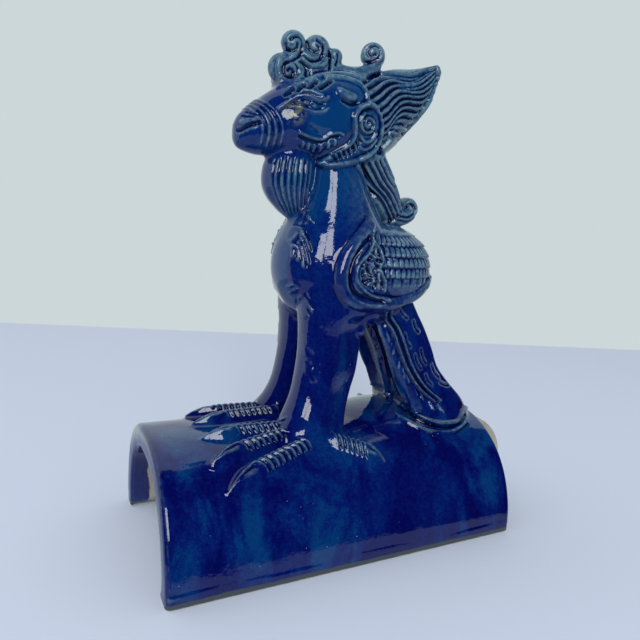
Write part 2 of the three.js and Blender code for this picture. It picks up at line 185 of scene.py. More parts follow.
TORSO_POWER = 2.15
TORSO = [  # height, centre y, half-width, half-depth
    (98, 16, 9, 13),
    (102, 14, 17, 24),
    (108, 12, 23.5, 30),
    (119, 10, 27, 34),
    (130, 8, 26, 33),
    (140, 6, 24, 28),
    (150, 4.5, 20, 21.5),
    (160, 3.5, 17, 16.5),
    (170, 2.2, 15, 13.2),
    (182, 1, 14, 13),
]


def eased(rows, count):
    """Rows of numbers read as one smooth line through all of them, at evenly spaced steps."""
    rows = np.array(rows, float)
    along = np.linspace(0, len(rows) - 1, count)
    start = np.clip(along.astype(int), 0, len(rows) - 2)
    t = (along - start)[:, None]
    a, b, c, d = (rows[np.clip(start + k, 0, len(rows) - 1)] for k in (-1, 0, 1, 2))
    return b + t * (c - a) / 2 + t**2 * (a - 2.5 * b + 2 * c - d / 2) + t**3 * (1.5 * (b - c) + (d - a) / 2)


def oval(half_across, half_along, power=2.0, corners=96):
    """A superellipse with evenly spaced corners: (across, along) places, and the way out at each."""
    turn = np.linspace(0, 2 * math.pi, 1441)
    c, s = np.cos(turn), np.sin(turn)
    fine = np.stack([np.sign(c) * np.abs(c) ** (2 / power) * half_across,
                     np.sign(s) * np.abs(s) ** (2 / power) * half_along], axis=1)
    length = np.concatenate([[0], np.cumsum(np.linalg.norm(np.diff(fine, axis=0), axis=1))])
    even = np.linspace(0, length[-1], corners, endpoint=False)
    places = np.stack([np.interp(even, length, fine[:, k]) for k in (0, 1)], axis=1)
    run = np.roll(places, -1, axis=0) - np.roll(places, 1, axis=0)
    out = np.stack([run[:, 1], -run[:, 0]], axis=1)
    return places, out / np.linalg.norm(out, axis=1)[:, None]


def placed(ring, centre, tilt):
    """Puts (across, along) places round a centre, in a level plane or in one tilted about the x axis."""
    way = np.array([0, math.cos(tilt), math.sin(tilt)])
    return np.array(centre) + ring[:, :1] * (1, 0, 0) + ring[:, 1:] * way


def through_ovals(name, rows, count, power, upright, corners=96):
    """A form through level ovals if it is upright, or through ovals that look along the ridge."""
    rings = []
    for first, second, half_across, half_along in eased(rows, count):
        ring, _ = oval(half_across, half_along, power, corners)
        centre = (0, second, first) if upright else (0, first, second)
        rings.append(placed(ring, centre, 0 if upright else math.pi / 2))
    return pushed_out(name, rings)


torso = through_ovals("torso", TORSO, 48, TORSO_POWER, upright=True)

# --------
# The legs: two stout columns that lean forward and spread into the feet. The clay behind each leg was cut
# with a wire, which left a flat face with a hard edge. Only the left one is made: the right side is
# mirrored later.

LEG = [  # height, centre x, centre y, half-width, half-depth
    (118, 12, 3, 13, 20),
    (108, 12, 1, 13.5, 18),
    (98, 12, -1, 12.2, 15.5),
    (88, 12.2, -1.8, 11.2, 15),
    (78, 12.5, -3.2, 10.6, 15),
    (69, 13, -5.6, 10.4, 14.6),
    (61, 14.2, -8.6, 10.9, 15.2),
    (54, 16.6, -12, 12.2, 16.5),
    (46, 18, -13.5, 13, 17.2),
    (37, 18.5, -13.5, 13, 17.2),
]
LEG_POWER = 2.3
WIRE_CUT = np.array([0.91, 0.41])  # the way the cut face looks, in x and y
CUT_REACH = 0.78  # how far out of the leg's middle it lies, as a share of the uncut leg
CUT_CLEAN = 0.92  # how much was taken of the clay past it
CUT_TOP = (106, 102)  # heights over which the cut comes in, and goes out again at the ankle
CUT_FOOT = (47, 57)


def fade(value, start, end):
    """Nought up to start, one from end on, and straight between them. End may be the lower."""
    return np.clip((value - start) / (end - start), 0, 1)


rings = []
for z, x, y, half_width, half_depth in eased(LEG, 44):
    ring, _ = oval(half_width, half_depth, LEG_POWER)
    reach = ring @ WIRE_CUT
    over = np.maximum(reach - CUT_REACH * reach.max(), 0)
    ring -= CUT_CLEAN * fade(z, *CUT_TOP) * fade(z, *CUT_FOOT) * over[:, None] * WIRE_CUT
    rings.append(placed(ring, (x, y, z), 0))
leg = seated(pushed_out("leg", rings))

# --------
# The toes: rolls of clay laid on the tile, three in front and a spur behind. Each is a flat leaf with a
# narrow ridge along it that ends in a claw, and follows the round of the tile. The two feet aren't quite
# alike: the right one stands nearer to the middle. The rings are pressed in later.

TOES = [  # root x, y, tip x, y, half-width, rings
    ((27.6, -14), (40.6, -57.6), 3.9, 10),
    ((20.6, -22), (30.4, -61.8), 3.8, 9),
    ((16.4, -20), (14.8, -62.2), 3.7, 10),
    ((27.4, -9), (39.2, 16.2), 4, 8),
    ((-4, -20), (-2, -62), 3.7, 10),
    ((-14, -22), (-20, -61.4), 3.8, 9),
    ((-25, -15), (-37, -57), 3.9, 10),
    ((-27.4, -9), (-39.2, 16.2), 4, 8),
]
CLAW_SHARE = 0.34  # of the toe's length
RIDGE_SHARE = 0.66  # of the toe's width
LEAF_RISE = 3.0
RIDGE_RISE = 5.9
TOE_SUNK = 0.3


def toe_size(t):
    """The width of a toe along its length: widest before the claw, then drawn to a point."""
    to_tip = max(0, (t - 1 + CLAW_SHARE) / CLAW_SHARE)
    return (0.86 + 0.2 * min(t / (1 - CLAW_SHARE), 1)) * (1 - to_tip**2) + 0.1


toes = []
for number, (root, tip, half_width, _) in enumerate(TOES):
    root, tip = np.array(root, float), np.array(tip, float)
    along = tip - root
    side = np.array([-along[1], along[0]]) / np.linalg.norm(along)
    for part, width, rise in (("leaf", 1.0, LEAF_RISE), ("ridge", RIDGE_SHARE, RIDGE_RISE)):
        rings = []
        for t in np.linspace(0, 1, 50):
            size = toe_size(t)
            ring, _ = oval(half_width * width * size, rise * (0.3 + 0.7 * size) * (1 - 0.12 * t), 2.2, 32)
            x, y = root + along * t
            in_plan = ring[:, :1] * side + (x, y)
            heights = tile_top(in_plan[:, 0]) - TOE_SUNK + np.maximum(ring[:, 1], -3.5)
            rings.append(np.column_stack([in_plan, heights]))
        toes.append(seated(pushed_out(f"toe_{number}_{part}", rings)))

# --------
# The tail: a broad bundle of feathers that comes down behind and stands on the mound as a third leg. Its
# front was scooped hollow, with the mould's seam left down the middle. Its folds are carved later.

TAIL = [  # height, front edge, rear edge, half-width, squareness
    (114, 18, 46, 15, 2.4),
    (104, 19, 50, 16, 3),
    (96, 23, 53, 16.5, 4),
    (86, 28, 57, 16.8, 5),
    (76, 31.2, 61.5, 17, 5),
    (66, 34.6, 71, 18, 4.5),
    (58, 36.5, 80, 22, 3),
    (52, 38, 83, 27.5, 2.4),
    (44, 38, 84, 31, 2.2),
    (36, 38, 84, 32, 2.2),
]
TAIL_HOLLOW = 5.0
TAIL_SEAM = 2.4
REAR_FLUTES = 5
FLUTE_DEPTH = 1.1

rings = []
for z, front, rear, half_width, power in eased(TAIL, 90):
    half = (rear - front) / 2
    ring, out = oval(half_width, half, power, 200)
    to_rear = np.clip(out[:, 1] * 1.5 - 0.4, 0, 1)
    flute = FLUTE_DEPTH * np.cos(ring[:, 0] / half_width * math.pi * REAR_FLUTES) * to_rear
    ring += out * (fade(z, 50, 60) * flute)[:, None]
    across = np.abs(ring[:, 0]) / (half_width - 3)
    to_front = np.clip(-out[:, 1], 0, 1)
    hollow = TAIL_HOLLOW * to_front**0.5 * np.clip(1 - across**4, 0, 1)
    seam = TAIL_SEAM * np.exp(-((ring[:, 0] / 1.5) ** 2)) * to_front
    ring[:, 1] += (hollow - seam) * fade(z, 112, 104)
    rings.append(placed(ring, (0, front + half, z), 0))
tail = seated(pushed_out("tail", rings))

# --------
# The wings: a round swelling on each side, folded close to the back. The collar in front of each and its
# rows of feathers are carved further down, once the clay is joined.

WING_CENTRE = (4, 28, 127)
WING_RADII = (24, 26.5, 20.8)

wing = ball(WING_RADII, WING_CENTRE, 96)

# --------
# The head: an egg of clay that draws out into a stout blunt beak. It is pushed out from the beak's tip to
# the back of the skull, which the hair hides.

HEAD_POWER = 2.2
HEAD = [  # y, centre height, half-width, half-height
    (-45.9, 183.7, 1.2, 1.8),
    (-45.4, 183.8, 3.2, 4.2),
    (-43.6, 184.4, 6.0, 7.0),
    (-40, 185.4, 8.8, 9.4),
    (-35, 187, 11.2, 12),
    (-29, 189.2, 13.2, 14.2),
    (-22, 191.6, 15.8, 16.8),
    (-14, 193.4, 17.8, 18.4),
    (-5, 194, 18.8, 20),
    (5, 194.3, 18.2, 20.8),
    (14, 195.5, 15, 20),
    (22, 197, 10, 18),
    (29, 198, 5, 13),
]

head = through_ovals("head", HEAD, 90, HEAD_POWER, upright=False)

# --------
# The beard: a smooth drop of clay that hangs below the beak, against the throat. It is combed lengthwise
# once it is joined.

BEARD = [  # height, centre y, half-width, half-depth
    (181, -16.4, 8, 8),
    (176, -18.8, 10.6, 10.4),
    (170, -20, 11.8, 11.6),
    (163, -20.4, 11.6, 11.4),
    (157.5, -19.6, 10, 9.8),
    (153, -18, 7.8, 7.4),
    (149.5, -16.7, 4.8, 4.6),
    (147.4, -16, 2.2, 2.2),
]

beard = through_ovals("beard", BEARD, 50, 2, upright=True)

# --------
# The swept hair: a wedge of clay behind the face, as thick as the head at first, that thins to one upturned
# tip. Its rings stand across the way that the hair blows.

HAIR_TOP = [(0, 211), (9, 213.4), (17, 215), (24.2, 217.9), (32, 220.3), (42, 221.9), (50, 224),
            (57.4, 226.4)]
HAIR_LOW = [(8, 171), (17, 173.5), (26, 178), (33.4, 183.5), (40.9, 190.9), (48.6, 199.1), (55.6, 208.6),
            (60, 222.4)]
HAIR_HALF_THICKNESS = [16.6, 16.4, 14.8, 12.2, 9, 6.2, 3.8, 1.8]

rings = []
thickness = [(one,) for one in HAIR_HALF_THICKNESS]
for upper, lower, (half_across,) in zip(eased(HAIR_TOP, 90), eased(HAIR_LOW, 90), eased(thickness, 90)):
    ring, _ = oval(half_across, np.linalg.norm(upper - lower) / 2, 2.3, 128)
    tilt = math.atan2(upper[1] - lower[1], upper[0] - lower[0])
    rings.append(placed(ring, (0, *(upper + lower) / 2), tilt))
hair = pushed_out("swept_hair", rings)

# --------
# The mane: a band of locks down the nape that leaves the neck at its end and rolls up into a curl. Its
# rings turn with the line that it follows.

MANE = [  # y, z, half-width across, half-thickness
    (15.6, 185, 12.4, 8),
    (20, 176, 12.2, 8.6),
    (24.8, 168, 11.8, 8.8),
    (29, 160.6, 11.2, 8.4),
    (32.6, 154.6, 10.4, 7.4),
    (36.6, 151.2, 9.6, 5.2),
    (41, 151, 8.8, 4.2),
    (44.8, 153, 8.2, 3.5),
    (46, 156.2, 7.6, 2.9),
    (44.4, 158.6, 7, 2.6),
    (42.2, 157.8, 6.4, 2.2),
    (42.2, 156, 5.8, 1.8),
]

line = eased(MANE, 90)
ways = np.gradient(line[:, :2], axis=0)
rings = []
for (y, z, half_width, half_thick), (run, rise) in zip(line, ways):
    ring, _ = oval(half_width, half_thick, 2.4, 96)
    rings.append(placed(ring, (0, y, z), math.atan2(run, -rise)))
mane = pushed_out("mane", rings)

# --------
# The crest: a ridge along the top of the head that carries five curls, each a flattened ball of clay. Their
# spirals are scored later.

CREST_CURLS = [  # centre y, centre z, radius
    (-19.4, 223.7, 5.7),
    (-8, 222.9, 6.3),
    (0.6, 220.9, 3.9),
    (-24.2, 212.7, 6.6),
    (21, 224.6, 6.1),
]
CREST_HALF_THICKNESS = 4.8
CREST_POWER = 2.2
CREST_RIDGE = [  # y, z, half-width, half-height
    (-27, 205, 5.2, 5),
    (-21, 213, 5.4, 8),
    (-11, 214.6, 5.4, 6.5),
    (-1, 214.4, 5, 4.8),
    (9, 214.6, 4.8, 3.6),
    (18, 217, 4.6, 3.2),
    (24, 220.4, 4, 2.6),
]

crest = [through_ovals("crest_ridge", CREST_RIDGE, 40, CREST_POWER, upright=False, corners=64)]
for y, z, radius in CREST_CURLS:
    crest.append(ball((CREST_HALF_THICKNESS, radius, radius), (0, y, z), 48))

# --------
# The ears and the eyes: an oval plate of clay on each side behind the cheek, and an eyeball pressed into the
# head. Only the left ones are made here.

EAR_CENTRE = (12, 187)
EAR_RADII = (7.2, 12.6)
EAR_FACE = 13.6  # how far out of the middle plane its flat face stands
EYE = (-19, 195.7)
EYE_RADII = (2.4, 4.8, 2.3)
EYE_SUNK = 1.1

rings = []
for x, size in ((4, 1), (EAR_FACE - 1.4, 1), (EAR_FACE - 0.5, 0.95), (EAR_FACE, 0.84)):
    ring, _ = oval(*EAR_RADII, corners=64)
    rings.append([(x, EAR_CENTRE[0] + u * size, EAR_CENTRE[1] + v * size) for u, v in ring])
ear = pushed_out("ear", rings)


def on_head(y, z):
    """How far out of the middle plane the head's side stands at a place."""
    rows = eased(HEAD, 200)
    middle, half_width, half_height = (np.interp(y, rows[:, 0], rows[:, k]) for k in (1, 2, 3))
    share = abs(z - middle) / half_height
    return half_width * (1 - share**HEAD_POWER) ** (1 / HEAD_POWER)


eye = ball(EYE_RADII, (on_head(*EYE) - EYE_SUNK, *EYE), 32)

# --------
# Joining: the left-hand forms are mirrored, and all the wet clay is luted into one body. Every joint is
# then filled and wiped, so clay is added wherever two forms meet in a sharp inner corner.

GRAIN = 0.5  # size of the cells that the clay is rebuilt in
FIRST_WIPE = 6
FILL_WIPE = 40


def select_only(*objects):
    bpy.ops.object.select_all(action="DESELECT")
    for one in objects:
        one.select_set(True)
    bpy.context.view_layer.objects.active = objects[0]


def with_modifier(kind, **settings):
    """Adds a modifier to the form at hand, sets it and applies it."""
    bpy.ops.object.modifier_add(type=kind)
    modifier = bpy.context.object.modifiers[0]
    for name, value in settings.items():
        setattr(modifier, name, value)
    bpy.ops.object.modifier_apply(modifier=modifier.name)


select_only(leg, wing, ear, eye)
bpy.ops.object.join()
with_modifier("MIRROR", use_mirror_merge=False)

select_only(tile, spigot, mound, torso, leg, tail, head, beard, hair, mane, *crest, *toes)
bpy.ops.object.join()
phoenix = bpy.context.object
phoenix.name = "glazed_phoenix"
phoenix.data.name = "glazed_phoenix"
with_modifier("REMESH", mode="VOXEL", voxel_size=GRAIN)
clay = phoenix.data


def read_out(items, quality, kind=float):
    """A table of one quality of the clay's vertices or edges, with a row for each."""
    columns = 3 if kind is float else 2
    flat = np.empty(len(items) * columns, kind)
    items.foreach_get(quality, flat)
    return flat.reshape(-1, columns)


def clay_places():
    return read_out(clay.vertices, "co")


def clay_normals():
    return read_out(clay.vertices, "normal")


def move_clay(new_places):
    clay.vertices.foreach_set("co", new_places.ravel())
    clay.update()


def edges_and_counts():
    """The clay's edges as pairs of vertex numbers, and how many neighbours each vertex has."""
    edges = read_out(clay.edges, "vertices", int)
    return edges, np.maximum(np.bincount(edges.ravel(), minlength=len(clay.vertices)), 1)


def pulls(all_places, edges, counts):
    """For each vertex, how far its neighbours' mean lies from it."""
    total = np.zeros_like(all_places)
    for axis in range(3):
        total[:, axis] = np.bincount(edges[:, 0], all_places[edges[:, 1], axis], len(counts))
        total[:, axis] += np.bincount(edges[:, 1], all_places[edges[:, 0], axis], len(counts))
    return total / counts[:, None] - all_places


def wipe(rounds, fill_only=True):
    """Smooths the clay. With fill_only it only fills inner corners, so that round forms keep their size."""
    net = edges_and_counts()
    now, facing = clay_places(), clay_normals()
    for number in range(rounds):
        pull = pulls(now, *net)
        if fill_only:
            pull *= fade(np.sum(pull * facing, axis=1), 0, 0.01)[:, None]
            if number % 8 == 7:
                move_clay(now)
                facing = clay_normals()
        elif number % 2:
            pull *= -1.02  # every second round gives back the size that the first one took
        now += 0.55 * pull
    move_clay(now)


wipe(FIRST_WIPE, fill_only=False)
wipe(FILL_WIPE)

# --------
# Carving: lines drawn on the leather-hard clay with a pointed and a round tool, and thin rolls of clay laid
# on. Each is a line of (y, z) places on the side of the figure, and its mirror image is drawn on the other
# side.

spot = clay_places()
spot_x, spot_y, spot_z = spot.T
facing = clay_normals()
sideways = fade(np.sign(spot_x) * facing[:, 0], 0.12, 0.42)
side_view = spot[:, 1:]
lift = np.zeros(len(spot))


def reach_of(path):
    """The distance of each vertex from a line drawn in side view, for the vertices near it."""
    path = np.array(path, float)
    low, high = path.min(0) - 5, path.max(0) + 5
    near = np.nonzero(np.all(side_view > low, axis=1) & np.all(side_view < high, axis=1) & (sideways > 0))[0]
    here = side_view[near]
    best = np.full(len(near), 1e9)
    for start, end in zip(path[:-1], path[1:]):
        way = end - start
        share = np.clip((here - start) @ way / max(way @ way, 1e-9), 0, 1)
        best = np.minimum(best, np.linalg.norm(here - start - share[:, None] * way, axis=1))
    return near, best


def roll(path, half_width, height):
    """Lays a round roll of clay along a smooth line, or with a negative height presses a groove."""
    near, distance = reach_of(eased(path, 6 * len(path)) if len(path) > 2 else path)
    swell = np.clip(1 - (distance / half_width) ** 2, 0, 1) ** 0.75
    lift[near] += height * swell * sideways[near]


def curl_line(centre, outer, inner, start, turns):
    """A spiral of (y, z) places that runs in from its outer end, clockwise if the turns are negative."""
    share = np.linspace(0, 1, int(16 * abs(turns)) + 4)
    radius = outer + (inner - outer) * share**0.85
    angle = np.radians(start) + 2 * math.pi * turns * share
    return np.stack([centre[0] + radius * np.cos(angle), centre[1] + radius * np.sin(angle)], axis=1)


def combed(first, last, count, half_width, height, wave=0.0, shift=0.0):
    """Lines side by side with one S-bend each, from places on the first guide to places on the last one."""
    starts, ends = eased(first, count), eased(last, count)
    share = np.linspace(0, 1, 9)[:, None]
    for number, (start, end) in enumerate(zip(starts, ends)):
        late = shift * number / max(count - 1, 1)
        bend = wave * np.sin(2 * math.pi * (share - late)) * np.sin(math.pi * share) ** 0.5
        roll(start + (end - start) * share + bend * (-0.25, 1), half_width, height)


# The front curls of the crest: one ribbon that comes down from the top curl and rolls in again below it.
roll([(-22.4, 224.4), (-19.7, 225.9), (-17.4, 225.2), (-16.6, 222.7), (-17.1, 219.6), (-19.3, 216.9),
      (-22.5, 215.3), (-24.8, 213.7), (-25.6, 211.3), (-24.6, 208.8), (-22, 208.5), (-20.8, 210.6),
      (-22.2, 212.2), (-23.6, 211)], 0.95, -1.5)
roll([(-24.2, 222.6), (-23.6, 220.6), (-21.4, 219.8), (-19.4, 220.9), (-19.2, 223)], 0.8, -1.1)
roll([(-24.9, 217.4), (-27.2, 214.6), (-27.8, 211.4), (-26.6, 208)], 1.0, 0.7)
# The second curl, with a deep turn round its eye, and small leaves below it.
roll([(-9.6, 225.8), (-7.6, 224.4), (-6.6, 221.7), (-7.5, 218.8), (-10.2, 217), (-13.6, 216.7),
      (-16, 218.6)], 0.95, -1.5)
roll([(-13.9, 226), (-13.5, 222.8), (-11.6, 221), (-9.6, 220.8), (-8.6, 222.4), (-9.8, 223.6)], 0.8, -1.2)
roll([(-16.6, 216.4), (-13.4, 214.6), (-10.2, 214.4), (-6.6, 215.6), (-4.6, 218.6)], 0.9, 0.8)
roll([(-18.4, 215.6), (-15.9, 214.2), (-15.1, 212), (-16.2, 209.8)], 0.7, -1.1)
roll([(-16.6, 214.6), (-14, 213.2), (-13.4, 211), (-14, 209.6)], 0.7, -0.9)
roll([(-20.8, 214.8), (-19.2, 212.6), (-19, 210.2)], 0.7, -0.8)
# The small curl, the rear curl and the wavy line that they stand on.
roll([(-3.3, 222.4), (-2.8, 219.4), (-3.1, 216.4), (-3.8, 213.6)], 0.9, -1.4)
roll([(0.2, 221.4), (0.6, 218.6), (-0.4, 216.4)], 0.7, -0.8)
roll([(14.4, 220.8), (18.1, 220.8), (21.2, 222.4), (22.8, 225.1), (21.9, 227.6), (19.4, 228.4),
      (16.6, 226.8), (16.4, 224.2), (18.4, 223), (19.8, 224.4)], 0.85, -1.3)
roll([(-18.6, 207.6), (-13.6, 210.5), (-9.3, 212), (-2.9, 213.4), (4.1, 213.8), (9.3, 212.8), (13.5, 212.8),
      (18.2, 214.9), (23.4, 217)], 0.9, -1.3)
roll([(-17, 206.4), (-12, 208.8), (-4, 211.2), (4, 211.6), (11, 210.8), (17, 212.6)], 1.2, 0.8)

# The beak: rings of skin round its root that curve forward over its top, a nostril slit and two creases
# above it.
RING_SPACING = 2.75
RING_FIRST = -28.0

bowed = spot_y + 0.042 * np.maximum(spot_z - 183, 0) ** 2
place = (bowed - RING_FIRST) / RING_SPACING
skin = 1.3 * np.abs(np.cos(math.pi * place)) ** 0.7 - 0.85
on_beak = fade(place, -3.4, -3.15) * fade(place, 0.42, 0.17)
on_beak *= fade(spot_z, 176.5, 179.5) * fade(spot_z, 203, 201) * (spot_y < -24)
lift += skin * on_beak
roll([(-44.6, 184), (-42.1, 185.6), (-39.5, 186.6), (-37.4, 187.2)], 1.0, -1.5)
roll([(-43.6, 187.4), (-40.6, 188.2), (-38.4, 188.6)], 1.0, 0.8)
roll([(-43.2, 189.8), (-39.4, 188.9)], 0.6, -0.7)
roll([(-41.6, 191.4), (-38.2, 190)], 0.6, -0.7)

# The brow: four slanting cuts with raised edges.
for low, high in (((-26.8, 199), (-23.8, 202.2)), ((-22.5, 200.8), (-19.2, 204)), ((-17.9, 202.4),
                  (-14, 205.8)), ((-12.9, 202.8), (-7.6, 206.6))):
    roll([low, high], 1.8, 0.35)
    roll([low, high], 1.05, -2.8)

# The eye: a lid that sweeps back to the temple, a fold above it, a lower lid, and a ring for the pupil.
roll([(-30.4, 192.8), (-26.5, 195.6), (-22.5, 198.3), (-19.4, 198.8), (-17.1, 198.4), (-14.8, 197.5),
      (-12.4, 197.6), (-9.8, 198.8)], 0.95, 1.1)
roll([(-27.4, 193.8), (-23.6, 196.6), (-20, 197.4), (-17, 197), (-14.4, 196.2), (-11.6, 196.4)], 0.6, -0.9)
roll([(-26.6, 197.4), (-23.2, 199), (-20.2, 200.8), (-16.9, 201), (-14.2, 199.9), (-12.2, 199.2)], 0.9, 0.9)
roll([(-24.4, 197.8), (-21.4, 199.6), (-18.2, 200), (-15.2, 199.2)], 0.5, -0.6)
roll([(-26, 194.4), (-21.7, 193.9), (-18.3, 193.2), (-15.5, 192.6), (-12.2, 193), (-9.8, 194.4)], 0.8, 0.7)
roll([(-25, 195), (-21.7, 194.9), (-18.3, 194.3), (-15.5, 193.7), (-12.6, 194)], 0.5, -0.6)
roll(curl_line((-19.7, 195.9), 1.8, 1.8, 0, 1), 0.55, -0.7)
roll([(-17.2, 197), (-15.4, 195.2), (-16.6, 194.2)], 0.6, 0.6)
# The temple's knob, over a small hollow.
roll([(-4, 202.2), (-0.6, 201.2), (2.4, 200.4)], 2.0, 1.5)
roll([(-2.8, 198.8), (1.4, 197.6), (4.4, 198.8)], 1.3, -1.3)
# The mouth: a lip that turns up at its end, with little folds below it, and two pits on the cheek.
roll([(-21, 184), (-17.9, 183.2), (-15.7, 182.6), (-12, 182.2), (-9.4, 182.8), (-7.2, 184.4), (-4.4, 185.2),
      (-1.6, 184.8)], 0.9, 1.1)
roll([(-20.6, 182.4), (-18.1, 181.7), (-15.3, 181.1), (-11.6, 180.8), (-9.1, 181.6), (-7, 183.2),
      (-3.4, 184)], 0.8, -1.4)
for y, z in ((-18.4, 179.9), (-15.7, 179.2), (-12.9, 178.8), (-9.9, 179), (-7, 180.3), (-4.4, 181.5)):
    roll([(y, z + 0.2), (y + 0.2, z - 0.8)], 1.05, 1.0)
for y, z in ((-16.4, 186.8), (-14.2, 185.3)):
    roll([(y - 0.5, z + 0.4), (y + 0.5, z - 0.4)], 0.8, -0.6)

# The rim of the face: a thin roll from the crest round the cheek to the jaw.
roll([(-9, 208), (-4, 208.8), (2, 208.6), (7, 207), (10, 203.6), (10.2, 200), (8.6, 197.6)], 1.2, 1.3)
roll([(8, 198), (5, 195.8), (3.1, 192.3), (3.9, 188.3), (4.2, 184.3), (2.2, 180.8), (-2, 176.9),
      (-5.4, 174.7), (-8.2, 172.9)], 1.3, 1.6)
# The ear: a wider roll that runs on below the jaw, a spiral and two bands inside it, and dark notches
# below.
roll([(7.6, 197.6), (12, 199.2), (16.4, 197.6), (18.8, 193.2), (19, 186), (17, 180.6), (12, 176.4),
      (4.4, 173.6), (-2.6, 172), (-7.6, 171.9)], 1.2, 1.4)
roll(curl_line((11.2, 190.6), 5, 0.7, 120, 1.75), 0.75, 1.2)
roll(curl_line((11.2, 190.6), 6, 1.7, 120, 1.75), 0.5, -0.7)
roll([(7.6, 184.4), (10.6, 183), (13.8, 184), (16, 187)], 0.8, 1.1)
roll([(6.6, 181.6), (10.4, 179.8), (14, 181), (16.6, 184.6)], 0.8, 0.9)
for y, z in ((-3.4, 174.6), (-1.2, 175.6), (1, 176.8), (3.2, 178.2), (5.2, 179.8), (7, 181.6), (7.6, 183.8)):
    roll([(y - 0.7, z + 1.2), (y + 0.9, z - 0.9)], 0.8, -2.1)

# The swept hair: waving locks combed from the face to the leaf's edge, each with a fine line down its
# middle.
HAIR_ROOTS = [(9.4, 208.4), (13.6, 202), (18.4, 196), (20.6, 190), (21, 184), (20, 179.4)]
HAIR_ENDS = [(55, 225.4), (55.6, 222.8), (57.4, 220.4), (57.8, 216.6), (55.6, 211), (51, 204.6), (45, 197.4),
             (39, 190.6)]
HAIR_LOCKS = 12

combed(HAIR_ROOTS, HAIR_ENDS, HAIR_LOCKS, 1.2, -1.7, wave=3.0, shift=0.2)
middles = [tuple((np.array(a) + b) / 2) for a, b in zip(HAIR_ROOTS[:-1], HAIR_ROOTS[1:])]
combed(middles, HAIR_ENDS[:-1], HAIR_LOCKS - 1, 0.5, -0.55, wave=3.0, shift=0.2)

# The mane: long locks combed down the nape that follow it into its curl.
combed([(10.5, 173), (14.5, 173.6), (19, 175), (23, 176.4), (26.8, 178.4)],
       [(31.4, 148.8), (34.4, 150.4), (36.8, 153.6), (38.6, 157.6), (40, 161.6)], 7, 0.95, -1.5, wave=-1.6)
roll([(8.4, 172.8), (14.8, 166.4), (18.8, 159.4), (22.4, 152.6), (27.4, 147.4)], 1.3, 1.2)
roll([(31.4, 148.8), (35.4, 149.2), (39.6, 148.8), (43.8, 149.8), (47.2, 152.6)], 0.7, -0.9)
roll([(34.4, 151.4), (37.6, 151.4), (41.6, 151.4), (44.8, 153.4), (45.2, 156), (43.4, 157.6), (41.8, 156.2)],
     0.85, -1.4)

# The beard: combed lengthwise all round but for its front, which was wiped smooth by hand.
COMBED_TEETH = 13

heights = eased(sorted(BEARD), 60)
centre, half_width, half_depth = (np.interp(spot_z, heights[:, 0], heights[:, k]) for k in (1, 2, 3))
across = spot_x / half_width
along = (spot_y - centre) / half_depth
turn = np.arctan2(along, np.abs(across))
on_beard = fade(np.hypot(across, along), 1.1, 1.05) * fade(turn, -1.15, -0.9) * (spot_y < -8)
on_beard *= fade(spot_z, 174.5, 172.5) * fade(spot_z, 147.5, 150.5) * fade(half_width, 2, 7)
lift += on_beard * (1.6 * np.abs(np.cos(COMBED_TEETH * (turn + 0.08))) ** 0.7 - 1.1)

# The wing's collar, the hollow inside it, and a panel within a thin double rim, parted from the feathers.
roll([(12.4, 146), (7.8, 141.4), (3.5, 137.3), (0, 133), (-2.1, 128.6), (-3, 123.9), (-2.4, 119),
      (-0.2, 114.7), (4.3, 112), (11, 110.9), (19, 110.4), (28, 110.6), (37, 112.4), (45, 116), (51, 121)],
     3.5, 2.5)
roll([(10.6, 140.6), (7.4, 138), (4, 133.6), (1.8, 129.2), (0.8, 124.6), (1.5, 119.2), (4.8, 115.2),
      (10.8, 113.2), (18, 112.6)], 1.4, -1.6)
roll([(12.6, 142.6), (12.4, 137.9), (10.4, 134.3), (7.6, 131.2), (4.6, 128), (3.6, 124.7), (4.1, 121.6),
      (6.8, 118.4), (10.7, 115.8), (15.1, 114.2), (22, 113.4)], 0.85, 1.5)
roll([(13.6, 137), (11.4, 133.5), (8.7, 130.7), (6.1, 127.7), (5.3, 124.8), (5.7, 121.9), (8.2, 119),
      (12.4, 116.6)], 0.5, 0.7)
roll([(13.2, 138.6), (15.7, 136.2), (17.2, 133.2), (17.6, 130.5), (15.8, 127.8), (16, 125.5), (17.9, 122.9),
      (19, 120.2), (18.7, 117)], 0.8, 1.4)
# Fans of small petals on the panel: arcs of clay with drops pressed between them.
for arc in ([(11.4, 133.2), (13.4, 131.8), (16.6, 132.4)], [(13.6, 137), (14, 134.6), (13.4, 131.8)],
            [(8, 130), (11.4, 128.8), (13.2, 125.4), (11.8, 121.4)], [(12, 129.6), (14.4, 126.4),
            (17, 125.2)], [(5.6, 122.8), (8.4, 123.4), (11.6, 122.6)], [(6.6, 127), (8.2, 125),
            (8.4, 123.4)], [(11.8, 121.4), (15, 121.8), (18.6, 121.4)], [(15.2, 124.6), (15, 121.8),
            (15.4, 118)]):
    roll(arc, 0.6, 0.9)
for y, z, turn_of in ((12.5, 135, 60), (15.8, 133.9, 100), (15.9, 130.5, 160), (10.4, 131.4, 40),
                      (14.3, 128.6, 150), (7, 129, 50), (9.4, 127, 100), (13.2, 126.8, 60), (7, 124.6, 90),
                      (10.2, 124.8, 120), (9.6, 121.6, 20), (13.6, 123.2, 100), (17.2, 120, 100),
                      (13.4, 119.5, 60), (7.8, 120.8, 140)):
    reach = 1.1 * np.array([math.cos(math.radians(turn_of)), math.sin(math.radians(turn_of))])
    roll([(y - reach[0], z - reach[1]), (y + reach[0], z + reach[1])], 0.95, -1.6)

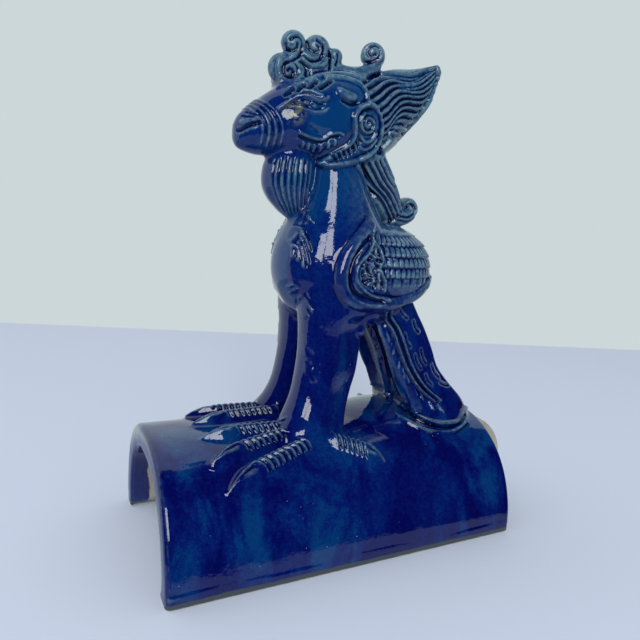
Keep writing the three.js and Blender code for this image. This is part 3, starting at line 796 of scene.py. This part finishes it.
# The wing's feathers: five rows that lap over each other like tiles, wrapped round the wing to the back.
ROWS = 5
ROW_TOP = 142.3
ROW_HEIGHT = 4.85
ROW_FOOT = ROW_TOP - ROWS * ROW_HEIGHT
FEATHER_WIDTH = 2.6
PARTING = [  # height, y: the line that parts the feathers from the panel
    (114, 21), (117, 19.8), (120.2, 20), (122.9, 19), (125.5, 17.1), (127.8, 16.9), (130.5, 18.7),
    (133.2, 18.3), (136.2, 16.8), (138.6, 14.4),
]

to_middle = np.stack([np.abs(spot_x), spot_y, spot_z], axis=1) - WING_CENTRE
share_out = np.linalg.norm(to_middle / WING_RADII, axis=1)
on_wing = fade(share_out, 1.12, 1.07) * fade(share_out, 0.86, 0.91)
parting = np.interp(spot_z, *zip(*PARTING))
on_wing *= fade(spot_y, parting, parting + 0.8) * fade(spot_z, ROW_TOP + 0.5, ROW_TOP - 1)
on_wing *= fade(spot_z, ROW_FOOT, ROW_FOOT + 1.5)
around = np.arctan2(spot_y - WING_CENTRE[1], np.abs(spot_x)) * (WING_RADII[0] + WING_RADII[1]) / 2
level = (ROW_TOP - spot_z) / ROW_HEIGHT
row = np.floor(level)
width = np.where(row == ROWS - 1, 1.8 * FEATHER_WIDTH, FEATHER_WIDTH)
hang = np.abs((around / width + 0.5 * (row % 2)) % 1 - 0.5)  # 0 at a feather's middle, 0.5 at its side
down = level - row + 0.7 * hang**2  # past one where the feather's round end has stopped
feather = np.where(down < 1, 1.25 * down - 0.6, -0.6)
feather -= 0.75 * np.exp(-(((hang - 0.5) / 0.17) ** 2)) * (down < 1)
feather *= 1 - 0.6 * fade(spot_y, 42, 50)  # fainter toward the back
lift += on_wing * feather

# The breast: a small eye of clay with rays that hang from it, twice, and a leaf beside the beard's tip.
for loop, petal, rays, height in (
    ([(-20.1, 135.7), (-21.3, 138.1), (-21.1, 141.2), (-19.6, 143.7), (-18, 144.3), (-16.8, 142.6),
      (-17.6, 139.7)],
     [(-20.3, 138.3), (-18.2, 141.4)],
     [[(-20.8, 135.6), (-21.3, 131.4)], [(-19.9, 136.2), (-19.5, 130)], [(-18.8, 137.5), (-17.7, 127.2)],
      [(-17.9, 138.9), (-16.4, 129)], [(-17, 142), (-15.7, 134.4)]], 0.85),
    ([(-18.7, 112.9), (-20.4, 114), (-21.6, 116.9), (-20.9, 118.9), (-19.2, 118.5), (-18, 116.5)],
     [(-20.4, 115.4), (-19.4, 117.2)],
     [[(-18.6, 111.8), (-17.6, 106.6)], [(-17.8, 112.4), (-16.5, 104.4)], [(-17.5, 113.8), (-15.4, 105.4)],
      [(-17.4, 115.8), (-14.5, 107.6)]], 0.5),
):
    roll(loop, 0.8, height)
    roll(petal, 0.8, height)
    for start, end in rays:
        roll([start, end], 0.65, height)
        roll([(start[0] + 0.9, start[1]), (end[0] + 1.1, end[1])], 0.5, -0.5 * height)
for leaf in ([(-16.8, 145.4), (-15.6, 148.6), (-14, 151.4)], [(-15.2, 145.8), (-13.6, 148.4),
             (-13.2, 151.6)], [(-16.4, 152.6), (-14.6, 150.4), (-13.2, 146.6)]):
    roll(leaf, 0.7, 0.6)

# Tufts down the front of the shin.
for start, end in (((-16.2, 96.6), (-15.6, 91.4)), ((-15, 95.9), (-13.3, 89.4)), ((-15.9, 90.2),
                   (-14, 84.8)), ((-15.6, 83.2), (-13.8, 76)), ((-13.6, 81.4), (-11.9, 76.4))):
    middle = ((start[0] + end[0]) / 2 - 0.5, (start[1] + end[1]) / 2)
    roll([start, middle, end], 0.9, 0.36)

# The tail: a broad rolled front edge, then a deep groove between two thin raised lines, drop-shaped
# feathers beside it, and short strokes between it and the roll.
roll([(12.6, 97), (14.4, 101.2), (17.6, 102.6), (22.1, 99.8), (27.1, 92), (31.3, 83.2), (36.7, 74.1),
      (42.2, 65.8), (45.6, 58)], 2.9, 1.5)
for height, half_width, edge in ((1.25, 0.75, -1.9), (-1.7, 1.0, 0), (1.25, 0.75, 1.9)):
    roll([(24.6 + edge, 107), (28.7 + edge, 102), (33 + edge, 96.2), (36.4 + edge, 88.8), (40.4 + edge, 80),
          (45.2 + edge, 72.4), (50.8 + edge, 65.9), (57.4 + edge, 60.4)], half_width, height)
for start, end in (((34.4, 107.6), (39.1, 102.4)), ((42.8, 100.8), (46, 95.4)), ((37.9, 95), (41.2, 88.4)),
                   ((47.7, 87), (51.2, 79.6)), ((44.4, 84.4), (48.2, 77.2)), ((55, 78.3), (59.9, 71.6)),
                   ((51.4, 74), (55.6, 68.2)), ((60.6, 69), (67, 66.6))):
    middle = ((start[0] + end[0]) / 2 - 0.5, (start[1] + end[1]) / 2 - 0.4)
    roll([start, middle, end], 1.45, 0.6)
    roll([start, middle, end], 0.7, -1.15)
for start, end in (((27.2, 98.7), (29.4, 92.1)), ((32.6, 91.9), (31.9, 85.9)), ((30.4, 95.6), (31, 90.4)),
                   ((35.3, 83.7), (35, 78.6)), ((37.2, 79), (38.2, 73.8)), ((39.2, 75.2), (41, 70.9)),
                   ((44.4, 68.6), (45.8, 64)), ((47.6, 66.2), (48.8, 61.6)), ((57, 58.6), (58.7, 55.4)),
                   ((52.4, 60.6), (53.8, 57))):
    roll([start, end], 0.7, 0.6)
# The tail's hem: two thin rolls with a groove between them, and the fillet where it meets the mound.
roll([(39.8, 60.4), (41.7, 56.9), (46.8, 53.7), (52.6, 51.9), (59, 51.2), (65.4, 51.4), (71.5, 54),
      (78, 54.6)], 0.9, 1.3)
roll([(39.4, 57.4), (42.4, 54), (47.4, 51.4), (53.4, 49.8), (60, 49.2), (67, 50.2), (74, 52.4)], 0.8, -1.3)
roll([(34.6, 54.4), (40.2, 51.2), (45.2, 49), (51.5, 47.6), (59, 47.2), (65.2, 48.4), (73, 50.4)], 1.1, 1.3)

# The toes' rings: slanting cuts across each ridge, down to the leaf that it lies on, and a claw with a
# hollow in it.
above_tile = spot_z - tile_top(spot_x)
on_foot = (above_tile > 1.0) & (above_tile < 8.5)
for root, tip, half_width, ring_count in TOES:
    way = np.array(tip, float) - root
    length = np.linalg.norm(way)
    offset = spot[:, :2] - root
    along = offset @ way / length**2
    aside = (offset @ np.array([-way[1], way[0]])) / length
    place = (along + 0.02 * aside) / (1 - CLAW_SHARE) * ring_count
    aside = np.abs(aside)
    ridge_edge = RIDGE_SHARE * half_width + 0.4
    on_ridge = fade(aside, ridge_edge, ridge_edge - 0.6) * on_foot
    on_ridge *= fade(place, 1.5, 2) * fade(place, ring_count + 0.2, ring_count - 0.3)
    lift += on_ridge * (1.9 * np.abs(np.cos(math.pi * place)) ** 0.55 - 1.6)
    in_claw = fade(along, 1 - CLAW_SHARE, 1 - CLAW_SHARE + 1 / 14) * fade(along, 0.9, 0.8) * on_foot
    almond = half_width * 0.42 * fade(along, 0.95, 0.95 - CLAW_SHARE)
    lift -= 0.9 * in_claw * fade(aside, almond, almond - 0.5)
    lift += 0.35 * in_claw * np.exp(-((aside - almond - 0.5) ** 2) / 0.2)

# The glaze ran down the tile and gathered in a low bead just above its bottom edge.
BEAD_HEIGHT = 4.6
BEAD_RISE = 0.3

bead = np.exp(-(((spot_z - BEAD_HEIGHT - 0.5 * np.sin(spot_y / 11 + 1)) / 1.1) ** 2))
bead *= (np.abs(facing[:, 0]) > 0.7) * (np.abs(spot_x) > 45)
lift += BEAD_RISE * bead * (0.65 + 0.35 * np.sin(spot_y / 7.3))

move_clay(spot + facing * lift[:, None])
wipe(2)
wipe(2, fill_only=False)

# --------
# Drying and firing leave the straight edges slightly out of true: slow waves run through the whole piece.
# The long lower edges stay flat on the ground.

spot = clay_places()
x, y, z = spot.T
wander = np.stack([
    0.35 * np.sin(y / 31 + z / 47) + 0.2 * np.sin(z / 13 + 1.3),
    0.3 * np.sin(z / 38 + x / 29 + 0.7),
    0.25 * np.sin(y / 26 + 1.1) + 0.15 * np.sin(x / 17 + y / 41),
], axis=1)
move_clay(spot + wander * fade(z, 1, 11)[:, None])

# --------
# How thick the glaze lies: it runs off edges and gathers in hollows. The clay's relief against a smoothed
# copy of itself says which is which, at a fine and at a broad scale.

FINE_RELIEF = (6, 0.16)  # rounds of smoothing, and the relief in millimetres that counts as full
BROAD_RELIEF = (40, 0.9)


def relief(rounds, full):
    """How far each vertex stands out of a smoothed copy, from -1 in a hollow to 1 on an edge."""
    net = edges_and_counts()
    smooth = clay_places()
    for _ in range(rounds):
        smooth += 0.6 * pulls(smooth, *net)
    return np.clip(np.sum((clay_places() - smooth) * clay_normals(), axis=1) / full, -1, 1)


thickness = 0.5 - 0.36 * relief(*FINE_RELIEF) - 0.14 * relief(*BROAD_RELIEF)
layer = clay.attributes.new("glaze_depth", "FLOAT", "POINT")
layer.data.foreach_set("value", np.clip(thickness, 0, 1).astype(np.float32))

# --------
# Into the shared frame: faces are thinned out where the clay is smooth, and the piece is set in metres with
# the tile's front end where the solid has its own.

MILLIMETRE = 0.001
FACE_LIMIT = 190_000

faces = sum(len(face.vertices) - 2 for face in clay.polygons)
select_only(phoenix)
with_modifier("DECIMATE", ratio=FACE_LIMIT / faces)

frame_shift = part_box("phoenix_ridge_tile")[0].y - TILE_FRONT * MILLIMETRE
final = clay_places() * MILLIMETRE
final[:, 1] += frame_shift
final[:, 2] -= final[:, 2].min()
move_clay(final)
bpy.ops.object.shade_smooth()

# --------
# The finish: a glossy cobalt glaze that shows the clay's mottling through it, darker where it gathers and
# paler where it breaks over an edge, with pinholes and fine specks. It stops inside the tile and on the
# spigot, where the buff clay is bare.

INK = (0.0004, 0.0005, 0.012, 1)
DEEP_COBALT = (0.0006, 0.0012, 0.064, 1)
COBALT = (0.0008, 0.0080, 0.102, 1)
PEACOCK = (0.0010, 0.036, 0.135, 1)
THIN_GLAZE_AND_SHEEN = (0.080, 0.165, 0.220, 1)
OCHRE = (0.17, 0.17, 0.05, 1)
EDGE_GREY = (0.040, 0.052, 0.056, 1)
BUFF_CLAY = (0.42, 0.37, 0.29, 1)
GREY_CLAY = (0.30, 0.28, 0.25, 1)
DARK_GRIT = (0.16, 0.13, 0.10, 1)
PALE_SPECK = (0.35, 0.5, 0.62, 1)

# The back and the crest are painted paler: partly thinner glaze, partly a painted reflection of the pale
# wall.
NAPE = (frame_shift - 0.004, frame_shift + 0.030)  # y and z over which the thin wash comes in on the back
BACK = (0.104, 0.128)
CROWN = (0.200, 0.213)  # z over which it comes in on the crest
OCHRE_FLECK = (frame_shift - 0.0239, 0.1916)  # y and z of its middle, below the eye
OCHRE_REACH = (0.0062, 0.0020)
FOOT_LINE = (0.0038, 0.0030)  # z over which the glaze turns grey at its foot
STANDING_LINE = (0.0012, 0.0006)  # and over which it gives way to bare clay
GLAZE_LAP = 9  # how far the glaze runs in under the front end, in millimetres

finish = bpy.data.materials.new("glaze_over_buff_clay")
finish.use_nodes = True
nodes = finish.node_tree.nodes
links = finish.node_tree.links
nodes.clear()


def feed(socket, value):
    """Links another node's output to a socket, or sets the socket to a constant."""
    if isinstance(value, bpy.types.NodeSocket):
        links.new(value, socket)
    else:
        socket.default_value = value


def add(kind, **settings):
    """A node with its settings: plain names are properties, names that start with in_ are its sockets."""
    node = nodes.new(kind)
    for name, value in settings.items():
        key = name[3:]
        if name.startswith("in_"):
            feed(node.inputs[int(key) if key.isdigit() else key.replace("_", " ")], value)
        else:
            setattr(node, name, value)
    return node


def calc(operation, *values, clamp=False):
    node = add("ShaderNodeMath", operation=operation, use_clamp=clamp)
    for socket, value in zip(node.inputs, values):
        feed(socket, value)
    return node.outputs[0]


def plus(first, second):
    return calc("ADD", first, second)


def times(first, *others):
    for other in others:
        first = calc("MULTIPLY", first, other)
    return first


def ramp(value, low, high):
    """Nought up to low, one from high on, and smooth between them. High may be the lower."""
    return add("ShaderNodeMapRange", interpolation_type="SMOOTHSTEP", clamp=True, in_Value=value,
               in_From_Min=low, in_From_Max=high).outputs[0]


def blend(share, first, second):
    return add("ShaderNodeMix", data_type="RGBA", in_Factor=share, in_6=first, in_7=second).outputs[2]


def noise(scale, detail=4, roughness=0.55, place=None, distortion=0.0):
    return add("ShaderNodeTexNoise", in_Vector=place or here, in_Scale=scale, in_Detail=detail,
               in_Roughness=roughness, in_Distortion=distortion).outputs["Fac"]


here = add("ShaderNodeTexCoord").outputs["Object"]
at_x, at_y, at_z = add("ShaderNodeSeparateXYZ", in_Vector=here).outputs
depth = add("ShaderNodeAttribute", attribute_name="glaze_depth").outputs["Fac"]

# The blue: slow clouds that ran a little way down, a fine mottle and a grain, and more peacock higher up.
runs = add("ShaderNodeMapping", in_Vector=here, in_Scale=(1, 1, 0.28)).outputs[0]
clouds = ramp(noise(46, 4, 0.6, runs, 0.5), 0.40, 0.66)
drift = ramp(noise(15, 2, 0.5), 0.36, 0.64)
mottle = ramp(noise(420, 3, 0.65), 0.36, 0.70)
grain = ramp(noise(1300, 2, 0.7), 0.38, 0.70)
tone = plus(times(clouds, plus(0.20, times(drift, 0.50))), times(mottle, 0.16))
tone = plus(tone, times(grain, 0.20))
tone = plus(tone, times(ramp(at_z, 0.03, 0.17), 0.38))
glaze = blend(ramp(tone, 0.08, 0.50), DEEP_COBALT, COBALT)
glaze = blend(ramp(tone, 0.36, 0.95), glaze, PEACOCK)

# Where it gathered it is nearly black. Where it broke over an edge it is thin. On the back and the crest it
# is
# paler too: partly thinner glaze, partly a painted reflection of the pale wall that these parts face.
glaze = blend(times(ramp(depth, 0.64, 0.94), 0.9), glaze, INK)
thin_and_sheen = times(ramp(depth, 0.36, 0.06), plus(0.28, times(mottle, 0.55)))
# Painted reflection mixed with real thinning: a pale wash on the upper back and on the crest, by place
# alone.
wash_and_sheen = calc("MAXIMUM", times(ramp(at_y, *NAPE), ramp(at_z, *BACK)), ramp(at_z, *CROWN))
wash_and_sheen = times(wash_and_sheen, ramp(depth, 0.78, 0.34))
thin_and_sheen = calc("ADD", thin_and_sheen, times(wash_and_sheen, plus(0.30, times(mottle, 0.8))), clamp=True)
glaze = blend(thin_and_sheen, glaze, THIN_GLAZE_AND_SHEEN)

# Pale specks and crawled spots in patches, an ochre fleck below the eye, and a grey line at the foot.
specks = add("ShaderNodeTexVoronoi", in_Vector=here, in_Scale=620, in_Randomness=1.0)
speck = ramp(specks.outputs["Distance"], 0.16, 0.08)
rare = ramp(add("ShaderNodeSeparateColor", in_0=specks.outputs["Color"]).outputs[0], 0.90, 0.93)
in_patches = ramp(noise(30, 2), 0.50, 0.66)
glaze = blend(times(speck, rare, in_patches, 0.7), glaze, PALE_SPECK)
crawled = ramp(noise(170, 3, 0.7, None, 1.6), 0.71, 0.76)
glaze = blend(times(crawled, in_patches, 0.35), glaze, THIN_GLAZE_AND_SHEEN)
away = [calc("SUBTRACT", at_y, OCHRE_FLECK[0]), calc("SUBTRACT", at_z, OCHRE_FLECK[1])]
away = calc("SQRT", plus(times(away[0], away[0]), times(away[1], away[1])))
ferrous = times(ramp(away, *OCHRE_REACH), ramp(noise(330, 3, 0.6), 0.40, 0.54))
glaze = blend(times(ferrous, 0.62), glaze, OCHRE)
off_foot = ramp(plus(at_z, times(noise(70, 3), 0.0016)), *FOOT_LINE)
glaze = blend(off_foot, glaze, EDGE_GREY)

# Where the clay is bare: the hollow of the tile behind a lap of glaze, the spigot, and the standing edges.
inner_x = (TILE_HALF_WIDTH - TILE_WALL + 0.8) * MILLIMETRE
inner_z = (TILE_HEIGHT - TILE_WALL + 0.8) * MILLIMETRE
share_x = calc("POWER", calc("DIVIDE", calc("ABSOLUTE", at_x), inner_x), TILE_POWER)
share_z = calc("POWER", calc("DIVIDE", at_z, inner_z), TILE_POWER)
hollow = ramp(plus(share_x, share_z), 1.02, 0.98)
lap_end = frame_shift + (TILE_FRONT + GLAZE_LAP) * MILLIMETRE
wavy = plus(at_y, times(calc("SUBTRACT", noise(60, 3), 0.5), 0.009))
behind_lap = ramp(wavy, lap_end - 0.0004, lap_end + 0.0004)
tile_end = frame_shift + TILE_REAR * MILLIMETRE
on_spigot = ramp(at_y, tile_end - 0.0002, tile_end + 0.0008)
standing = ramp(plus(at_z, times(noise(200, 2), 0.0008)), *STANDING_LINE)
bare = calc("MAXIMUM", calc("MAXIMUM", times(hollow, behind_lap), on_spigot), standing)
clay_tone = blend(ramp(noise(90, 5, 0.65), 0.3, 0.7), BUFF_CLAY, GREY_CLAY)
clay_tone = blend(times(ramp(noise(900, 2, 0.6), 0.62, 0.75), 0.5), clay_tone, DARK_GRIT)

# The skin: slow waves and fine pits in the glaze, a gritty face where the clay is bare, and satin edges.
waves = add("ShaderNodeBump", in_Strength=0.30, in_Distance=0.0006, in_Height=noise(120, 2, 0.5))
pits = add("ShaderNodeBump", in_Strength=0.12, in_Distance=0.0003, in_Height=noise(620, 2, 0.5),
           in_Normal=waves.outputs[0])
grit = add("ShaderNodeBump", in_Strength=0.6, in_Distance=0.0005, in_Height=noise(1400, 4, 0.7))
skin = add("ShaderNodeMix", data_type="VECTOR", in_Factor=bare, in_4=pits.outputs[0], in_5=grit.outputs[0])
slick = plus(0.02, times(noise(220, 3), 0.05))
satin = plus(times(off_foot, 0.25), times(thin_and_sheen, 0.22))
roughness = plus(times(bare, 0.78), plus(slick, satin))
surface = add("ShaderNodeBsdfPrincipled", in_Base_Color=blend(bare, glaze, clay_tone),
              in_Roughness=roughness, in_IOR=1.56, in_Normal=skin.outputs[1])
add("ShaderNodeOutputMaterial", in_Surface=surface.outputs[0])
clay.materials.clear()
clay.materials.append(finish)

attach(phoenix, "root")
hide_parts("phoenix_ridge_tile")

# --------
# The floor: a table laid with a plain pale cloth, one flat face turned square to the view. Beyond its edge
# stands a pale wall, which is the world's own colour and no object.

CLOTH = (0.60, 0.65, 0.76, 1)
TABLE_SIZE = 1
TABLE_TURN = -25.9  # degrees

cloth = bpy.data.materials.new("pale_cloth")
cloth.use_nodes = True
weave = cloth.node_tree.nodes["Principled BSDF"]
weave.inputs["Base Color"].default_value = CLOTH
weave.inputs["Roughness"].default_value = 0.9

bpy.ops.mesh.primitive_plane_add(size=TABLE_SIZE, rotation=(0, 0, math.radians(TABLE_TURN)))
floor = bpy.context.object
floor.name = "floor"
floor.data.materials.append(cloth)
floor.visible_glossy = False

# --------
# Light and camera: a tall window of four panes in front of the bird's left side. The glaze mirrors a pale
# wall behind the bird, the pale cloth that it stands on, and a dark room in front.

DARK_ROOM = (0.012, 0.014, 0.020, 1)
MIRRORED_WALL = (0.72, 0.82, 0.83, 1)
MIRRORED_CLOTH = (0.34, 0.41, 0.56, 1)
ROOM_LIGHT = (0.62, 0.66, 0.70, 1)
WALL = (0.60, 0.68, 0.69, 1)
DAYLIGHT = (0.95, 0.98, 1.0)
SKYLIGHT = (0.95, 0.97, 1.0)
MIDDLE = Vector((0, 0, 0.13))  # of the bird, where the lights look

world = bpy.data.worlds.new("room")
bpy.context.scene.world = world
world.use_nodes = True
nodes = world.node_tree.nodes
links = world.node_tree.links
nodes.clear()
ray = add("ShaderNodeLightPath")
way = add("ShaderNodeSeparateXYZ", in_Vector=add("ShaderNodeTexCoord").outputs["Generated"])
mirrored = blend(ramp(way.outputs[0], -0.08, -0.14), DARK_ROOM, MIRRORED_WALL)
mirrored = blend(ramp(way.outputs[2], -0.31, -0.36), mirrored, MIRRORED_CLOTH)
seen = blend(ray.outputs["Is Glossy Ray"], ROOM_LIGHT, mirrored)
seen = blend(ray.outputs["Is Camera Ray"], seen, WALL)
room = add("ShaderNodeBackground", in_Color=seen, in_Strength=1.0)
add("ShaderNodeOutputWorld", in_Surface=room.outputs[0])


def lamp(name, place, width, height, power, tone):
    light = bpy.data.lights.new(name, "AREA")
    light.shape = "RECTANGLE"
    light.size = width
    light.size_y = height
    light.energy = power
    light.color = tone
    holder = bpy.data.objects.new(name, light)
    bpy.context.scene.collection.objects.link(holder)
    holder.location = place
    holder.rotation_euler = (MIDDLE - Vector(place)).to_track_quat("-Z", "Y").to_euler()
    return holder


for column in range(2):
    for row in range(2):
        pane = (1.55, -0.50 - 0.52 * column, 0.72 + 0.62 * row)
        lamp(f"window_pane_{column}_{row}", pane, 0.44, 0.54, 5.5, DAYLIGHT)
sky_fill = lamp("sky_fill", (-0.6, -1.2, 1.8), 1.6, 1.6, 6, SKYLIGHT)
sky_fill.visible_glossy = False

FOCAL_LENGTH = 32.86
CAMERA_PLACE = (251.685, -122.921, 143.649)  # from the middle of the tile, in millimetres
VIEW_TURN = 25.919  # degrees that the camera stands forward of the bird's left side
VIEW_DIP = 8.782
VIEW_ROLL = 2.482

camera = bpy.data.objects.new("camera", bpy.data.cameras.new("camera"))
bpy.context.scene.collection.objects.link(camera)
camera.data.lens = FOCAL_LENGTH
camera.location = Vector(CAMERA_PLACE) * MILLIMETRE + Vector((0, frame_shift, 0))
turn, dip, tip = (math.radians(angle) for angle in (VIEW_TURN, VIEW_DIP, VIEW_ROLL))
look = Vector((-math.cos(turn) * math.cos(dip), math.sin(turn) * math.cos(dip), -math.sin(dip)))
upright = look.to_track_quat("-Z", "Y").to_matrix()
camera.rotation_euler = (upright @ Matrix.Rotation(tip, 3, "Z")).to_euler()
bpy.context.scene.camera = camera
bpy.context.scene.view_settings.view_transform = "Standard"

bpy.context.view_layer.update()
